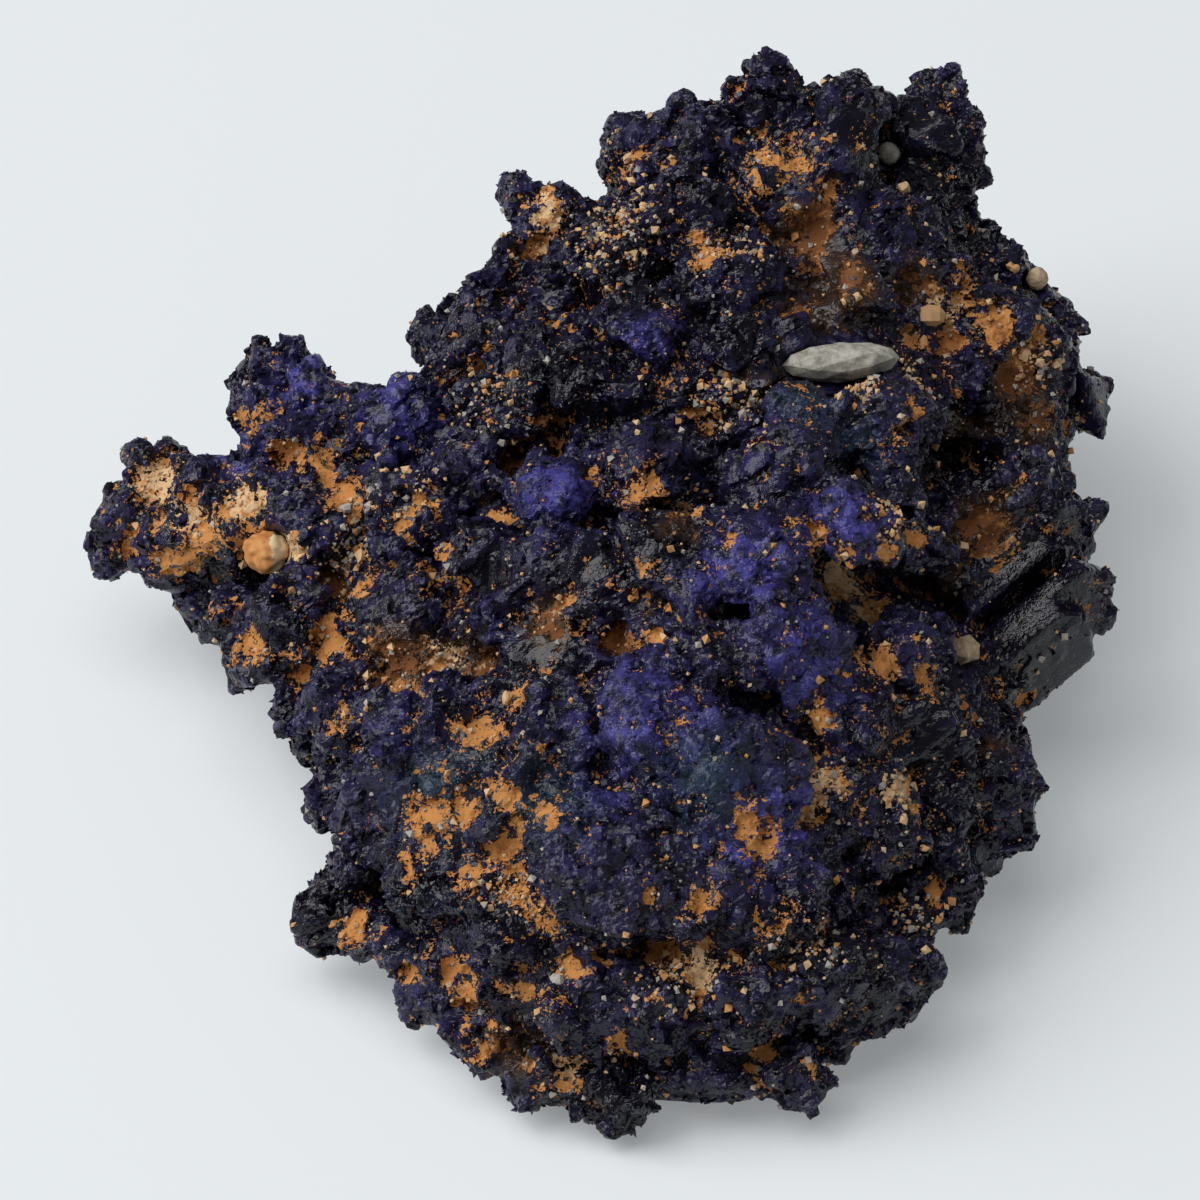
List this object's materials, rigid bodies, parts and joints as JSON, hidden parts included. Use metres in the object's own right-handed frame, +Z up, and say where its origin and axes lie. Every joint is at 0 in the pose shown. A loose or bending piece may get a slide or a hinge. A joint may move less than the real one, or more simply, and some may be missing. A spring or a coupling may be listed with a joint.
{
  "type": "azurite specimen",
  "caption": "Rough lump of intergrown dark blue azurite crystals on iron-stained clay, with small pale stones lodged in its hollows, resting on a flat broken underside",
  "frame": {"origin": "on the resting plane, below the middle of the lump's bounding box", "axes": "+Z up from the table, +Y away from the viewer of the pictured side, +X to that viewer's right"},
  "size_m": [0.0688, 0.0764, 0.0329],
  "materials": {
    "azurite": "dark blue bladed crystals with a soft vitreous lustre, stained with matte orange clay",
    "pale_stone": "matte grey-white stone",
    "cream_stone": "matte cream-orange grain",
    "tan_stone": "matte buff grain"
  },
  "bodies": {
    "root": {"azurite_mass": "azurite", "pale_chip": "pale_stone", "cream_nodule": "cream_stone", "tan_grain": "tan_stone", "buff_chip": "tan_stone", "grey_pebble": "pale_stone"}
  },
  "joints": []
}
